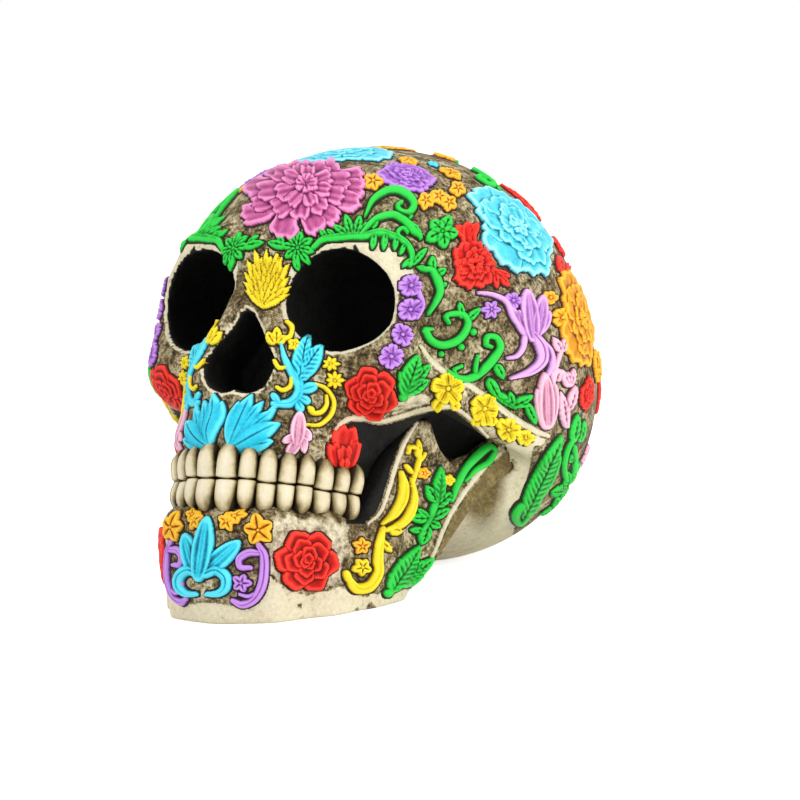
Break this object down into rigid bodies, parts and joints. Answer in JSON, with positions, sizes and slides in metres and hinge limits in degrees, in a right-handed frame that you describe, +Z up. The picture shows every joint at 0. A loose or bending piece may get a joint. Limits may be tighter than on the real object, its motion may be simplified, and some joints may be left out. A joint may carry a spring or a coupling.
{
  "type": "skull decoration",
  "caption": "Painted resin skull ornament with a closed jaw and raised flowers, leaves and scrolls; stands on its jaw base and the back of the head.",
  "frame": {"origin": "middle of the footprint on the surface the ornament stands on", "axes": "+Z up, -Y out of the face, +X to the skull's left side"},
  "size_m": [0.148, 0.1946, 0.1503],
  "materials": {
    "aged_bone": "stippled resin with a brown wash, cream on worn edges, matt black in the sockets",
    "enamel": "satin cream with brown wash between the teeth",
    "pink_paint": "satin acrylic paint over raised relief, with a dark wash in the grooves",
    "cyan_paint": "satin acrylic paint over raised relief, with a dark wash in the grooves",
    "yellow_paint": "satin acrylic paint over raised relief, with a dark wash in the grooves",
    "green_paint": "satin acrylic paint over raised relief, with a dark wash in the grooves",
    "red_paint": "satin acrylic paint over raised relief, with a dark wash in the grooves",
    "purple_paint": "satin acrylic paint over raised relief, with a dark wash in the grooves",
    "orange_paint": "satin acrylic paint over raised relief, with a dark wash in the grooves",
    "blue_paint": "satin acrylic paint over raised relief, with a dark wash in the grooves"
  },
  "bodies": {
    "root": {"cranium": "aged_bone", "mandible": "aged_bone", "upper_teeth": "enamel", "lower_teeth": "enamel", "forehead_dahlia": "pink_paint", "crown_flower": "cyan_paint", "glabella_leaf": "yellow_paint", "chin_lily": "blue_paint", "nape_flower": "cyan_paint", "temple_flower_left": "cyan_paint", "temple_flower_right": "cyan_paint", "temple_rose_left": "red_paint", "temple_rose_right": "red_paint", "side_lily_left": "purple_paint", "side_lily_right": "purple_paint", "side_flower_left": "orange_paint", "side_flower_right": "orange_paint", "side_tulip_left": "pink_paint", "side_tulip_right": "pink_paint", "cheek_rose_left": "red_paint", "cheek_rose_right": "red_paint", "brow_garland_left": "green_paint", "brow_garland_right": "green_paint", "brow_scroll_left": "green_paint", "brow_scroll_right": "green_paint", "arch_flower_front_left": "yellow_paint", "arch_flower_front_right": "yellow_paint", "arch_flower_back_left": "yellow_paint", "arch_flower_back_right": "yellow_paint", "nose_leaf_left": "blue_paint", "nose_leaf_right": "blue_paint", "lip_palmette_left": "blue_paint", "lip_palmette_right": "blue_paint", "cheek_scroll_left": "yellow_paint", "cheek_scroll_right": "yellow_paint", "orbit_flower_upper_left": "purple_paint", "orbit_flower_upper_right": "purple_paint", "orbit_flower_lower_left": "purple_paint", "orbit_flower_lower_right": "purple_paint", "chin_rose_left": "red_paint", "chin_rose_right": "red_paint", "chin_scroll_left": "purple_paint", "chin_scroll_right": "purple_paint", "jaw_scroll_left": "yellow_paint", "jaw_scroll_right": "yellow_paint", "jaw_leaf_left": "green_paint", "jaw_leaf_right": "green_paint", "ramus_leaf_left": "yellow_paint", "ramus_leaf_right": "yellow_paint", "ramus_sprig_left": "green_paint", "ramus_sprig_right": "green_paint", "nape_leaf_left": "green_paint", "nape_leaf_right": "green_paint", "crown_blossom_left": "purple_paint", "crown_blossom_right": "purple_paint", "temple_scroll_left": "green_paint", "temple_scroll_right": "green_paint", "mouth_leaf_left": "pink_paint", "mouth_leaf_right": "pink_paint"}
  },
  "joints": []
}
